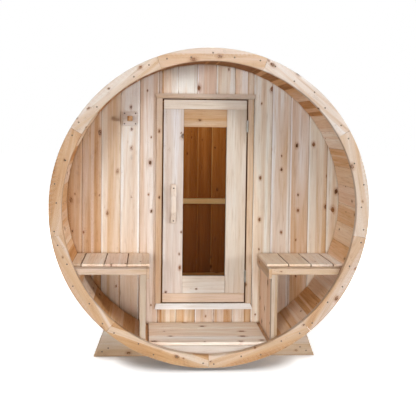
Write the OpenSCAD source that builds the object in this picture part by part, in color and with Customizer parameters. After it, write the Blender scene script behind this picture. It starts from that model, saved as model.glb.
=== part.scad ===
// Barrel sauna: bead-and-cove staves, segmented end rings, an open porch with
// two slatted benches, and a framed glass door that swings out on butt hinges.
// X runs across the porch, Y from the porch to the back, Z up from the ground.

/* [Barrel] */
// Outer diameter of the end rings
ring_od = 1956; // [1860:1:2060]
// Radial width of an end ring
ring_w = 78; // [64:1:90]
// Thickness of an end ring along the barrel
ring_t = 38; // [25:1:50]
// Number of segments in an end ring
ring_segments = 9; // [7:1:12]
// Gap at a joint between two ring segments
ring_joint = 0.6; // [0.3:0.1:2]
// Step from the ring's inner edge out to the staves
ring_reveal = 20; // [8:1:24]
// Overall length of the barrel, over both rings
barrel_l = 2134; // [1800:1:2440]
// Height of the rings above the ground
ring_lift = 18; // [12:1:60]
// Number of staves round the barrel
stave_count = 46; // [40:2:52]
// Thickness of a stave
stave_t = 38; // [32:1:45]
// Radius of the bead along a stave's edge
bead_r = 9; // [6:0.5:11]
// Depth of the grooves in the staves that hold the end walls
croze_d = 10; // [6:1:14]
// Clearance between pieces that seat in each other
seat_clear = 0.3; // [0.2:0.05:0.5]

/* [Steel bands] */
// Number of bands round the staves
band_count = 3; // [2:1:4]
// Width of a band
band_w = 30; // [20:1:40]
// Thickness of a band
band_t = 1.5; // [1:0.1:2]
// Distance from a barrel end to the middle of its nearest band
band_inset = 190; // [120:1:240]
// Reach of a band's tightening lugs from the staves
lug_h = 16; // [10:1:18]
// Gap between the two lugs of a band
lug_gap = 24; // [10:1:40]

/* [Walls and floor] */
// Thickness of the end walls
wall_t = 38; // [30:1:45]
// Depth of the porch, from the front ring's face to the front wall
porch_d = 457; // [400:1:560]
// Depth of the recess behind the back wall
back_recess = 96; // [70:1:140]
// Height of the floor's top over the lowest staves
floor_rise = 92; // [70:1:110]
// Thickness of the floor boards
floor_t = 22; // [18:1:28]
// Nominal width of a floor board
floor_board_w = 140; // [110:1:160]
// Gap between floor boards
floor_gap = 4; // [2:0.5:8]
// Gap between the floor's ends and the bench posts
floor_end_gap = 19; // [10:1:30]
// Thickness of the riser under the porch floor's front edge
riser_t = 19; // [15:1:25]
// Height of the back wall's batten over the floor
batten_rise = 634; // [500:1:700]
// Height of the back wall's batten
batten_h = 48; // [30:1:60]
// Thickness of the back wall's batten
batten_t = 22; // [15:1:30]

/* [Benches] */
// Distance from the door's casing to a bench's slats
bench_clear = 42; // [20:1:60]
// Height of a bench's top over the floor
bench_h = 475; // [420:1:520]
// Width of a bench slat
slat_w = 134; // [100:1:150]
// Thickness of a bench slat
slat_t = 16; // [12:1:25]
// Gap between two bench slats
slat_gap = 8; // [3:0.5:12]
// Depth of a bench's front rail along the barrel
rail_d = 89; // [70:1:110]
// Height of a bench's front rail and wall cleat
rail_h = 38; // [30:1:50]
// Width of the ledge that the front rail leaves before the slats
ledge_d = 60; // [30:1:65]
// Width of a bench post
post_w = 38; // [30:1:45]
// Thickness of a bench's side rail
side_rail_t = 19; // [15:1:25]
// Height of a bench's side rail
side_rail_h = 64; // [45:1:90]
// Thickness of a bench's side panel
panel_t = 19; // [15:1:25]
// Nominal width of a side panel's boards
panel_board_w = 127; // [90:1:150]
// Gap between a side panel's boards
panel_gap = 0.8; // [0.5:0.1:3]
// Distance that the slats reach over the side rail
slat_overhang = 1; // [0:1:10]

/* [Door] */
// Width of the door leaf
door_w = 557; // [520:1:600]
// Distance from the door leaf's upper edge up to the roof staves
over_door = 238; // [180:1:320]
// Thickness of the door leaf
door_t = 38; // [34:1:42]
// Height of the leaf's lower edge over the floor
door_rise = 143; // [120:1:170]
// Gap round the leaf
door_gap = 8; // [7:0.5:10]
// Width of the leaf's stiles
stile_w = 134; // [100:1:150]
// Height of the full-width rails at the leaf's ends
end_rail_h = 62; // [50:1:80]
// Height of the rails between the stiles
inner_rail_h = 119; // [80:1:130]
// Thickness of the glass
glass_t = 6; // [4:1:8]
// Depth of the groove that holds the glass
glass_groove = 10; // [6:1:14]
// Clearance behind the leaf to its stops
stop_gap = 5; // [5:0.5:6]
// Distance that a stop reaches behind the leaf
stop_lap = 10; // [6:1:16]

/* [Door trim] */
// Width of the side casings
casing_w = 40; // [30:1:50]
// Thickness of the side casings
casing_t = 19; // [17:1:24]
// Height of the head trim
head_h = 32; // [25:1:60]
// Height of the head trim's bevelled lower strip
head_bevel = 12; // [6:1:20]
// Thickness of the head trim
head_t = 30; // [26:1:40]
// Flare of the head trim's ends
head_flare = 11; // [6:1:24]
// Height of the sill
sill_h = 34; // [28:1:44]
// Reach of the sill's lower edge from the wall
sill_d = 44; // [32:1:55]
// Height of the sill's upright lower edge
sill_edge = 7; // [4:1:12]
// Flare of the sill's ends
sill_flare = 11; // [5:1:20]
// Distance from the casing's outer edge in to the sill's upper corner
sill_inset = 6; // [0:1:10]

/* [Door hardware] */
// Length of a hinge
hinge_l = 79; // [60:1:100]
// Radius of a hinge's knuckles
knuckle_r = 6.5; // [5:0.25:8]
// Radius of a hinge's pin
pin_r = 3; // [2:0.25:3.5]
// Running clearance round a hinge's pin
pin_clear = 0.1; // [0.05:0.01:0.1]
// Thickness of a hinge's leaves
hinge_t = 2.5; // [2:0.1:3]
// Depth of a hinge's leaves on the door's edge
hinge_d = 30; // [20:1:34]
// Distance from the leaf's upper edge to the middle of the upper hinge
hinge_top = 173; // [120:1:250]
// Distance from the leaf's lower edge to the middle of the lower hinge
hinge_bottom = 179; // [120:1:250]
// Length of the wooden pull
pull_l = 261; // [200:1:300]
// Width of the wooden pull
pull_w = 36; // [28:1:44]
// Reach of the wooden pull from the door
pull_d = 56; // [45:1:70]
// Thickness of the pull's grip
grip_t = 24; // [18:1:26]
// Length of the pull's feet
pull_foot = 44; // [34:1:56]
// Distance from the leaf's edge to the middle of the pull
pull_inset = 69; // [60:1:95]
// Height of the pull's middle over the leaf's lower edge
pull_rise = 671; // [550:1:800]

/* [Robe hook] */
// Width of the hook's plate
hook_w = 97; // [70:1:120]
// Height of the hook's plate
hook_h = 93; // [70:1:120]
// Thickness of the hook's plate
hook_t = 15; // [10:1:20]
// Side of the hook's square peg
peg_w = 33; // [25:1:40]
// Length of the hook's peg in front of its plate
peg_l = 70; // [40:1:90]
// Distance from the door's casing to the hook's plate
hook_clear = 128; // [60:1:160]
// Distance from the door leaf's upper edge down to the middle of the hook
hook_drop = 129; // [100:1:300]

/* [Cradles] */
// Thickness of a cradle's boards
cradle_t = 38; // [30:1:60]
// Height of a cradle's lower board
cradle_lower_h = 89; // [70:1:140]
// Height of a cradle's upper board
cradle_upper_h = 140; // [100:1:160]
// Width of a cradle at the ground
cradle_w = 1450; // [1300:1:1560]
// Slope of a cradle's ends
cradle_slope = 20; // [12:0.5:24]
// Distance from a barrel end to the outer face of its cradle
cradle_inset = 270; // [240:1:420]

/* [Hidden] */

$fn = 96;
// Distance by which a cutting shape passes the piece that it cuts
past = 5;

// Barrel
ring_ro = ring_od / 2;
ring_ri = ring_ro - ring_w;
ring_mid = (ring_ro + ring_ri) / 2;
stave_ri = ring_ri + ring_reveal;
stave_ro = stave_ri + stave_t;
stave_mid = stave_ri + stave_t / 2;
axis_h = ring_ro + ring_lift;
pitch = 360 / stave_count;
front_y = -barrel_l / 2;
back_y = barrel_l / 2;
stave_y = front_y + ring_t;
stave_l = barrel_l - 2 * ring_t;
stave_groups = 6;
// The first joint of a ring, and the angle that its gap takes
ring_start = 30;
ring_joint_angle = ring_joint / ring_mid * 180 / PI;

// Walls and floor
wall_r = stave_ri + croze_d;
front_wall_y = front_y + porch_d;
cabin_y = front_wall_y + wall_t;
back_wall_y = back_y - back_recess - wall_t;
floor_z = axis_h - stave_ri + floor_rise;

// Door and its opening
door_z = floor_z + door_rise;
door_top = axis_h + stave_ri - over_door;
door_y = front_wall_y - casing_t;
opening_x = door_w / 2 + door_gap;
opening_z0 = door_z - door_gap;
opening_z1 = door_top + door_gap;
casing_x = opening_x + casing_w;
stop_y = door_y + door_t + stop_gap;
pane_x = door_w / 2 - stile_w;
pane_z0 = door_z + end_rail_h + inner_rail_h;
pane_z1 = door_top - end_rail_h - inner_rail_h;
glass_y = door_y + (door_t - glass_t) / 2;

// Benches, and the floor that ends at their posts
bench_x = casing_x + bench_clear;
side_rail_x = bench_x + slat_overhang;
post_x = side_rail_x + side_rail_t;
bench_z = floor_z + bench_h;
rail_z = bench_z - slat_t - rail_h;
floor_half_w = post_x - floor_end_gap;

// Robe hook
hook_x = casing_x + hook_clear + hook_w / 2;
hook_z = door_top - hook_drop;

// Hinge axis, in the gap beside the leaf and in front of its face
hinge_x = door_w / 2 + door_gap / 2;
hinge_y = door_y - knuckle_r;
hinge_levels = [door_z + hinge_bottom, door_top - hinge_top];

module box(x0, x1, y0, y1, z0, z1) {
  translate([x0, y0, z0])
    cube([x1 - x0, y1 - y0, z1 - z0]);
}

// A 2-D outline of the barrel's cross-section, drawn round its axis and
// extruded along the barrel
module along_barrel(y0, length) {
  translate([0, y0 + length, axis_h])
    rotate([90, 0, 0])
      linear_extrude(length)
        children();
}

// The corners and the polygon that the staves' flat faces make, at a distance r
// from the axis
function stave_corner(r, i) =
  r / cos(pitch / 2) * [sin((i + 0.5) * pitch), cos((i + 0.5) * pitch)];

module stave_polygon(r) {
  polygon([for (i = [0 : stave_count - 1]) stave_corner(r, i)]);
}

// The room inside the staves, for pieces that are cut to seat on them
module inside_staves(y0, y1) {
  along_barrel(y0, y1 - y0)
    stave_polygon(stave_ri - seat_clear);
}

module mirrored(side) {
  scale_x = side == "left" ? 1 : 0;
  mirror([scale_x, 0, 0])
    children();
}

// Barrel shell

// One stave: flat faces, a bead on one edge and a cove on the other that
// holds the next stave's bead
module stave_profile() {
  half = tan(pitch / 2);
  gap = seat_clear / 2 / cos(pitch / 2);
  bead_at = [stave_mid * half - gap, stave_mid];
  difference() {
    union() {
      polygon([
        [-stave_ri * half + gap, stave_ri],
        [stave_ri * half - gap, stave_ri],
        [stave_ro * half - gap, stave_ro],
        [-stave_ro * half + gap, stave_ro],
      ]);
      translate(bead_at)
        circle(bead_r);
    }
    rotate(pitch)
      translate(bead_at)
        circle(bead_r + seat_clear);
  }
}

// Groove round the barrel that takes the rim of an end wall
module croze(y0) {
  translate([0, y0 - seat_clear, axis_h])
    rotate([-90, 0, 0])
      cylinder(r = wall_r + seat_clear, h = wall_t + 2 * seat_clear);
}

// One of the groups of neighbouring staves, counted clockwise from the roof
module staves(group, tint) {
  first = ceil((group - 0.5) * stave_count / stave_groups);
  last = ceil((group + 0.5) * stave_count / stave_groups) - 1;
  color(tint)
    difference() {
      for (i = [first : last])
        along_barrel(stave_y, stave_l)
          rotate(-i * pitch)
            stave_profile();
      croze(front_wall_y);
      croze(back_wall_y);
    }
}

module end_ring(y0, tint) {
  step = 360 / ring_segments;
  color(tint)
    translate([0, y0 + ring_t, axis_h])
      rotate([90, 0, 0])
        for (i = [0 : ring_segments - 1])
          rotate(ring_start + i * step + ring_joint_angle / 2)
            rotate_extrude(angle = step - ring_joint_angle)
              translate([ring_ri, 0])
                square([ring_w, ring_t]);
}

module front_ring() {
  end_ring(front_y, "burlywood");
}

module back_ring() {
  end_ring(back_y - ring_t, "burlywood");
}

// One band, unrolled from the middle of a stave's flat: a strap that follows the
// flats, with its ends turned out as lugs
module band_outline() {
  inner = stave_ro + seat_clear;
  outer = inner + band_t;
  lug_x = lug_gap / 2;
  lug = [
    [lug_x, inner],
    [lug_x, inner + lug_h],
    [lug_x + band_t, inner + lug_h],
    [lug_x + band_t, outer],
  ];
  polygon(concat(
    lug,
    [for (i = [0 : stave_count - 1]) stave_corner(outer, i)],
    [for (i = [len(lug) - 1 : -1 : 0]) [-lug[i].x, lug[i].y]],
    [for (i = [stave_count - 1 : -1 : 0]) stave_corner(inner, i)]
  ));
}

// The bands' lugs meet under the barrel's right side
module steel_bands() {
  span = barrel_l - 2 * band_inset;
  lug_turn = (ceil(stave_count / 4) + 1) * pitch;
  color("silver")
    for (i = [0 : band_count - 1])
      along_barrel(front_y + band_inset + i * span / (band_count - 1) - band_w / 2, band_w)
        rotate(-lug_turn)
          band_outline();
}

// End walls

module wall_disc(y0) {
  translate([0, y0, axis_h])
    rotate([-90, 0, 0])
      cylinder(r = wall_r, h = wall_t);
}

module front_wall_part(x0, x1, z0, z1) {
  color("wheat")
    intersection() {
      wall_disc(front_wall_y);
      box(x0, x1, front_wall_y - past, cabin_y + past, z0, z1);
    }
}

module front_wall_left() {
  front_wall_part(-ring_ro, -opening_x, 0, axis_h + ring_ro);
}

module front_wall_right() {
  front_wall_part(opening_x, ring_ro, 0, axis_h + ring_ro);
}

module front_wall_over_door() {
  front_wall_part(-opening_x, opening_x, opening_z1, axis_h + ring_ro);
}

module front_wall_under_door() {
  front_wall_part(-opening_x, opening_x, 0, opening_z0);
}

module back_wall() {
  color("wheat")
    wall_disc(back_wall_y);
}

module back_wall_batten() {
  z0 = floor_z + batten_rise;
  color("burlywood")
    intersection() {
      inside_staves(back_wall_y - batten_t, back_wall_y);
      box(-ring_ro, ring_ro, back_wall_y - batten_t, back_wall_y, z0, z0 + batten_h);
    }
}

// Floor boards run across the barrel, with ends that seat on the staves
module floor_boards(y0, y1) {
  count = round((y1 - y0 + floor_gap) / (floor_board_w + floor_gap));
  board_w = (y1 - y0 + floor_gap) / count - floor_gap;
  color("tan")
    for (i = [0 : count - 1]) {
      y = y0 + i * (board_w + floor_gap);
      intersection() {
        inside_staves(y - past, y + board_w + past);
        box(-floor_half_w, floor_half_w, y, y + board_w, floor_z - floor_t, floor_z);
      }
    }
}

module porch_floor() {
  floor_boards(stave_y, front_wall_y);
}

module cabin_floor() {
  floor_boards(cabin_y, back_wall_y);
}

module porch_riser() {
  color("antiquewhite")
    intersection() {
      inside_staves(stave_y, stave_y + riser_t);
      box(-floor_half_w, floor_half_w, stave_y, stave_y + riser_t, 0, floor_z - floor_t);
    }
}

// Benches, drawn on the right and mirrored for the left

module bench_slats(side) {
  y0 = stave_y + ledge_d;
  top_half_w = sqrt(pow(stave_ri, 2) - pow(axis_h - bench_z, 2));
  count = ceil((top_half_w - bench_x) / (slat_w + slat_gap));
  color("tan")
    mirrored(side)
      intersection() {
        inside_staves(y0 - past, front_wall_y + past);
        for (i = [0 : count - 1]) {
          x = bench_x + i * (slat_w + slat_gap);
          box(x, x + slat_w, y0, front_wall_y, bench_z - slat_t, bench_z);
        }
      }
}

// A horizontal rail under the slats, from the side rail out to the staves
module bench_rail(side, y0, y1) {
  color("burlywood")
    mirrored(side)
      intersection() {
        inside_staves(y0, y1);
        box(post_x, ring_ro, y0, y1, rail_z, rail_z + rail_h);
      }
}

module bench_front_rail(side) {
  bench_rail(side, stave_y, stave_y + rail_d);
}

module bench_wall_cleat(side) {
  bench_rail(side, front_wall_y - rail_h, front_wall_y);
}

module bench_post(side) {
  color("antiquewhite")
    mirrored(side)
      intersection() {
        inside_staves(stave_y - past, stave_y + post_w + past);
        box(post_x, post_x + post_w, stave_y, stave_y + post_w, 0, rail_z);
      }
}

// A narrow board under the inner slat, from the post back to the front wall
module bench_side_rail(side) {
  z1 = bench_z - slat_t;
  color("burlywood")
    mirrored(side)
      box(side_rail_x, post_x, stave_y, front_wall_y, z1 - side_rail_h, z1);
}

// Upright boards between the post and the front wall, flush with the post
module bench_side_panel(side) {
  y0 = stave_y + post_w;
  count = round((front_wall_y - y0) / panel_board_w);
  board_w = (front_wall_y - y0) / count;
  color("tan")
    mirrored(side)
      intersection() {
        inside_staves(y0 - past, front_wall_y + past);
        for (i = [0 : count - 1]) {
          y = y0 + i * board_w;
          box(post_x, post_x + panel_t, y, y + board_w - panel_gap, 0, rail_z);
        }
      }
}

// Door trim

module door_casings() {
  color("tan")
    for (side = ["left", "right"])
      mirrored(side)
        box(opening_x, casing_x, door_y, front_wall_y, opening_z0, opening_z1);
}

// A board on the wall over or under the door: a side profile of reach and
// height, with ends that flare out by a given distance over that height
module flared_trim(z0, height, flare_up, flare_down) {
  intersection() {
    translate([-ring_ro, front_wall_y, z0])
      rotate([90, 0, 90])
        linear_extrude(2 * ring_ro)
          children();
    translate([0, front_wall_y, z0])
      rotate([90, 0, 0])
        linear_extrude(head_t + sill_d)
          polygon([
            [-casing_x - flare_down, 0],
            [casing_x + flare_down, 0],
            [casing_x + flare_up, height],
            [-casing_x - flare_up, height],
          ]);
  }
}

module door_head() {
  color("tan")
    flared_trim(opening_z1, head_h, head_flare, 0)
      polygon([
        [0, 0],
        [-casing_t, 0],
        [-head_t, head_bevel],
        [-head_t, head_h],
        [0, head_h],
      ]);
}

module door_sill() {
  color("antiquewhite")
    flared_trim(opening_z0 - sill_h, sill_h, -sill_inset, sill_flare - sill_inset)
      polygon([
        [0, 0],
        [-sill_d, 0],
        [-sill_d, sill_edge],
        [-casing_t, sill_h],
        [0, sill_h],
      ]);
}

module door_stops() {
  reach = door_gap + stop_lap;
  color("sienna") {
    for (side = ["left", "right"])
      mirrored(side)
        box(opening_x - reach, opening_x, stop_y, cabin_y, opening_z0, opening_z1 - reach - floor_gap);
    box(-opening_x, opening_x, stop_y, cabin_y, opening_z1 - reach, opening_z1);
  }
}

// Door leaf

module glass_shape(clear) {
  grow = glass_groove + clear;
  box(-pane_x - grow, pane_x + grow, glass_y - clear, glass_y + glass_t + clear,
    pane_z0 - grow, pane_z1 + grow);
}

module door_stiles() {
  color("antiquewhite")
    difference() {
      for (side = ["left", "right"])
        mirrored(side)
          box(pane_x, door_w / 2, door_y, door_y + door_t,
            door_z + end_rail_h, door_top - end_rail_h);
      glass_shape(seat_clear);
    }
}

module door_end_rails() {
  color("wheat")
    for (z = [door_z, door_top - end_rail_h])
      box(-door_w / 2, door_w / 2, door_y, door_y + door_t, z, z + end_rail_h);
}

module door_inner_rails() {
  color("burlywood")
    difference() {
      for (z = [pane_z0 - inner_rail_h, pane_z1])
        box(-pane_x, pane_x, door_y, door_y + door_t, z, z + inner_rail_h);
      glass_shape(seat_clear);
    }
}

module door_glass() {
  color("lightsteelblue", 0.4)
    glass_shape(0);
}

// The pull is one bowed board: two feet on the door and a grip that stands off
module door_pull() {
  half = pull_l / 2;
  bend = pull_d - grip_t;
  color("wheat")
    translate([-door_w / 2 + pull_inset - pull_w / 2, door_y, door_z + pull_rise])
      rotate([90, 0, 90])
        linear_extrude(pull_w)
          polygon([
            [0, -half],
            [-grip_t, -half],
            [-pull_d, -half + pull_foot + bend],
            [-pull_d, half - pull_foot - bend],
            [-grip_t, half],
            [0, half],
            [0, half - pull_foot],
            [-bend, half - pull_foot - bend],
            [-bend, -half + pull_foot + bend],
            [0, -half + pull_foot],
          ]);
}

// Hinge: three knuckles on one pin, the middle one on the door
module knuckle(z0, z1) {
  translate([hinge_x, hinge_y, z0])
    cylinder(r = knuckle_r, h = z1 - z0);
}

// The wrap that carries a leaf's plate forward to its knuckle
module hinge_wrap(x0, z0, z1) {
  box(x0, x0 + hinge_t, hinge_y, door_y + hinge_t, z0, z1);
}

module hinge_door_leaves() {
  third = hinge_l / 3;
  x0 = door_w / 2;
  color("silver")
    for (z = hinge_levels)
      difference() {
        union() {
          box(x0, x0 + hinge_t, door_y + hinge_t, door_y + hinge_d, z - hinge_l / 2, z + hinge_l / 2);
          hinge_wrap(x0, z - third / 2 + seat_clear, z + third / 2 - seat_clear);
          knuckle(z - third / 2 + seat_clear, z + third / 2 - seat_clear);
        }
        translate([hinge_x, hinge_y, z - third])
          cylinder(r = pin_r + pin_clear, h = 2 * third);
      }
}

module hinge_frame_leaves() {
  third = hinge_l / 3;
  x0 = opening_x - hinge_t;
  color("silver")
    for (z = hinge_levels) {
      box(x0, opening_x, door_y + hinge_t, door_y + hinge_d, z - hinge_l / 2, z + hinge_l / 2);
      for (side = [-1, 1]) {
        low = z + side * third - third / 2;
        hinge_wrap(x0, low, low + third);
        knuckle(low, low + third);
      }
      translate([hinge_x, hinge_y, z - hinge_l / 2])
        cylinder(r = pin_r, h = hinge_l);
    }
}

// Robe hook on the front wall

module robe_hook_plate() {
  color("wheat")
    box(-hook_x - hook_w / 2, -hook_x + hook_w / 2, front_wall_y - hook_t, front_wall_y,
      hook_z - hook_h / 2, hook_z + hook_h / 2);
}

module robe_hook_peg() {
  y1 = front_wall_y - hook_t;
  color("peru")
    box(-hook_x - peg_w / 2, -hook_x + peg_w / 2, y1 - peg_l, y1,
      hook_z - peg_w / 2, hook_z + peg_w / 2);
}

// Cradles: two boards high, with sloped ends and a seat cut to the staves

module cradle_boards(z0, height) {
  half = cradle_w / 2 - z0 * tan(cradle_slope);
  top_half = half - height * tan(cradle_slope);
  color("tan")
    for (y = [front_y + cradle_inset, back_y - cradle_inset - cradle_t])
      along_barrel(y, cradle_t)
        difference() {
          translate([0, z0 - axis_h])
            polygon([
              [-half, 0],
              [half, 0],
              [top_half, height],
              [-top_half, height],
            ]);
          stave_polygon(stave_ro + seat_clear);
        }
}

module cradle_lower_boards() {
  cradle_boards(0, cradle_lower_h);
}

module cradle_upper_boards() {
  cradle_boards(cradle_lower_h, cradle_upper_h);
}

front_ring();
back_ring();
staves(0, "tan");  // staves_roof
staves(1, "burlywood");  // staves_upper_right
staves(2, "tan");  // staves_lower_right
staves(3, "burlywood");  // staves_floor
staves(4, "tan");  // staves_lower_left
staves(5, "burlywood");  // staves_upper_left
steel_bands();
front_wall_left();
front_wall_right();
front_wall_over_door();
front_wall_under_door();
back_wall();
back_wall_batten();
porch_floor();
porch_riser();
cabin_floor();
bench_slats("left");  // left_bench_slats
bench_front_rail("left");  // left_bench_front_rail
bench_wall_cleat("left");  // left_bench_wall_cleat
bench_post("left");  // left_bench_post
bench_side_rail("left");  // left_bench_side_rail
bench_side_panel("left");  // left_bench_side_panel
bench_slats("right");  // right_bench_slats
bench_front_rail("right");  // right_bench_front_rail
bench_wall_cleat("right");  // right_bench_wall_cleat
bench_post("right");  // right_bench_post
bench_side_rail("right");  // right_bench_side_rail
bench_side_panel("right");  // right_bench_side_panel
door_casings();
door_head();
door_sill();
door_stops();
hinge_frame_leaves();
door_stiles();
door_end_rails();
door_inner_rails();
door_glass();
door_pull();
hinge_door_leaves();
robe_hook_plate();
robe_hook_peg();
cradle_lower_boards();
cradle_upper_boards();
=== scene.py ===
# %% [markdown]
# # A barrel sauna in white cedar
# A barrel sauna is coopered like a cask: forty-six staves stand edge to edge, steel bands pull them
# together, and a ring of nine boards trims each mouth. The CAD model gives every stave, board and hinge
# its place. This script is the finisher's share of the work: it eases the edges of the boards, lays up the
# end walls plank by plank, drives the screws, gives each board a face of its own, and sets the whole thing
# up in a white studio.

# %% Load the frame
import itertools
import math
import random

import bmesh
import bpy
from mathutils import Matrix, Vector


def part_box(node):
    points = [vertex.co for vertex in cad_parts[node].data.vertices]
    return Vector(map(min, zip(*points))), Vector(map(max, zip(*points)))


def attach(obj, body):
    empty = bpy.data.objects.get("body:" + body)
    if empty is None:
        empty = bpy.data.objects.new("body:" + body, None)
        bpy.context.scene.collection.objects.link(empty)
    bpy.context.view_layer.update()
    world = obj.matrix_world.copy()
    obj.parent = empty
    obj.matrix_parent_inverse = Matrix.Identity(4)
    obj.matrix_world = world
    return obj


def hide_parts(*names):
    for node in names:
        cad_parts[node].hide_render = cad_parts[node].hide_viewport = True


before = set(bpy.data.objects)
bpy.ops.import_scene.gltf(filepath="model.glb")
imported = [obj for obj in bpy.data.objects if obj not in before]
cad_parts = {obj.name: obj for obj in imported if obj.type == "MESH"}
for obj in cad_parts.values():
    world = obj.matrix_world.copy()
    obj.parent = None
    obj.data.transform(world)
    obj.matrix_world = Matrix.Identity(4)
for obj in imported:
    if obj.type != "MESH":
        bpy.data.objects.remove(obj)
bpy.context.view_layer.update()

# %% [markdown]
# Sizes are read from the frame wherever a node's box shows them, so the dressed sauna follows the CAD
# model if that is changed. What no box shows, such as the width of a wall plank or the round of an edge,
# is a value of this script.

# %% Main sizes, in metres
def box_of(node):
    """Lowest and highest corner of a CAD node."""
    low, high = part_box(node)
    return Vector(low), Vector(high)


ring_low, ring_high = box_of("front_ring")
_, back_ring_high = box_of("back_ring")
wall_low, wall_high = box_of("back_wall")
barrel_axis_z = (wall_low.z + wall_high.z) / 2
wall_radius = (wall_high.z - wall_low.z) / 2
ring_radius = ring_high.z - barrel_axis_z
ring_board_w = 0.078
ring_depth = ring_high.y - ring_low.y
print(f"axis {barrel_axis_z:.3f} m up, walls {wall_radius:.3f} m and rings {ring_radius:.3f} m in radius")


# %% [markdown]
# Node trees are built in code here, both for shapes and for finishes. A helper that places one node and
# plugs in its inputs keeps each tree readable: a value is set on the socket, another node's output is
# linked to it.

# %% Node helpers
def plug(tree, node, feeds):
    """feeds maps a node's input, by name or number, to a value or to another node's output."""
    for name, value in feeds.items():
        if isinstance(value, bpy.types.NodeSocket):
            tree.links.new(value, node.inputs[name])
        else:
            node.inputs[name].default_value = value


def add_node(tree, kind, feeds=None, **settings):
    """Place one node and plug in its inputs."""
    node = tree.nodes.new(kind)
    for name, value in settings.items():
        setattr(node, name, value)
    plug(tree, node, feeds or {})
    return node


def put(tree, kind, feeds=None, **settings):
    """Place one node; gives its first output."""
    return add_node(tree, kind, feeds, **settings).outputs[0]


def calc(tree, operation, *values):
    """One Math node; gives its output."""
    return put(tree, "ShaderNodeMath", dict(enumerate(values)), operation=operation)


def times(tree, first, second):
    """One value times another."""
    return calc(tree, "MULTIPLY", first, second)


def ease(tree, value, low, high, out_low=0.0, out_high=1.0):
    """A smooth step from out_low to out_high as value goes from low to high."""
    feeds = {"Value": value, "From Min": low, "From Max": high, "To Min": out_low, "To Max": out_high}
    return put(tree, "ShaderNodeMapRange", feeds, interpolation_type="SMOOTHSTEP")


def noise(tree, vector, scale, detail=2.0, roughness=0.5, distortion=0.0):
    """One Noise Texture; gives its value."""
    return put(tree, "ShaderNodeTexNoise", {
        "Vector": vector, "Scale": scale, "Detail": detail, "Roughness": roughness, "Distortion": distortion,
    })


def mix_colour(tree, share, first, second, how="MIX"):
    """One colour Mix node; gives its colour."""
    feeds = {0: share, 6: first, 7: second}
    return add_node(tree, "ShaderNodeMix", feeds, data_type="RGBA", blend_type=how).outputs[2]


def dim(tree, colour, red, green, blue):
    """A colour with each channel times a factor of its own."""
    factors = put(tree, "ShaderNodeCombineColor", {0: red, 1: green, 2: blue})
    return mix_colour(tree, 1.0, colour, factors, "MULTIPLY")


def vector_of(tree, x=0.0, y=0.0, z=0.0):
    """A vector from its three parts."""
    return put(tree, "ShaderNodeCombineXYZ", {0: x, 1: y, 2: z})


def stretch(tree, vector, scale):
    """vector times scale, axis by axis."""
    return put(tree, "ShaderNodeVectorMath", {0: vector, 1: scale}, operation="MULTIPLY")


def new_group(kind, name, inputs, outputs):
    """An empty node group with sockets given by name and kind; gives it with its input sockets."""
    group = bpy.data.node_groups.new(name, kind)
    for in_out, sockets in (("OUTPUT", outputs), ("INPUT", inputs)):
        for socket_name, socket_kind in sockets.items():
            group.interface.new_socket(
                name=socket_name, in_out=in_out, socket_type="NodeSocket" + socket_kind
            )
    return group, add_node(group, "NodeGroupInput").outputs


# %% [markdown]
# White cedar is sold with everything the log has in it: chalk-white sapwood beside pink and orange
# heartwood, often in one board, and many small tight knots. One shader group makes any board of it. It
# reads three things from the board: its grain direction, a number that no other board has, and a tone from
# 0, sapwood white, over 1, orange heartwood, to the brown of a deep joint. Four more inputs say how
# streaky, sappy, knotty and bright this use of the timber is. Streaks, growth lines and sapwood strips
# only move the tone up and down, and one colour ramp turns the tone into a colour, so all boards look like
# the same timber.

# %% The cedar group
cedar, board_in = new_group("ShaderNodeTree", "cedar_grain", {
    "Grain": "Vector", "Board": "Float", "Tone": "Float",
    "Streaks": "Float", "Sapwood": "Float", "Knots": "Float", "Brightness": "Float",
}, {"Color": "Color", "Roughness": "Float", "Height": "Float"})
luck = add_node(cedar, "ShaderNodeTexWhiteNoise", {"W": board_in["Board"]}, noise_dimensions="1D")
in_log = put(cedar, "ShaderNodeVectorMath", {
    0: luck.outputs["Color"], 1: (37.0, 41.0, 43.0), 2: board_in["Grain"],
}, operation="MULTIPLY_ADD")
drawn_out = stretch(cedar, in_log, (1.0, 1.0, 0.05))
fibre_run = stretch(cedar, in_log, (1.0, 1.0, 0.015))
streak = noise(cedar, drawn_out, 14.0, distortion=0.6)
growth = noise(cedar, drawn_out, 95.0, detail=3.0, roughness=0.6, distortion=0.6)
fibre = noise(cedar, fibre_run, 520.0, roughness=0.6)

across = add_node(cedar, "ShaderNodeSeparateXYZ", {0: in_log}).outputs
edge_sway = times(cedar, noise(cedar, drawn_out, 6.0), 0.5)
sap_place = calc(cedar, "ADD", times(cedar, across[0], 13.0), edge_sway)
sap_noise = put(cedar, "ShaderNodeTexNoise", {
    "W": sap_place, "Scale": 1.0, "Detail": 1.0,
}, noise_dimensions="1D")
sap_strip = times(cedar, ease(cedar, sap_noise, 0.56, 0.63), board_in["Sapwood"])

tone_streak = times(cedar, calc(cedar, "SUBTRACT", streak, 0.5), board_in["Streaks"])
tone_growth = times(cedar, calc(cedar, "SUBTRACT", growth, 0.5), 0.30)
tone_sum = calc(cedar, "ADD", board_in["Tone"], calc(cedar, "ADD", tone_streak, tone_growth))
tone_now = times(cedar, tone_sum, calc(cedar, "SUBTRACT", 1.0, sap_strip))

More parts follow.
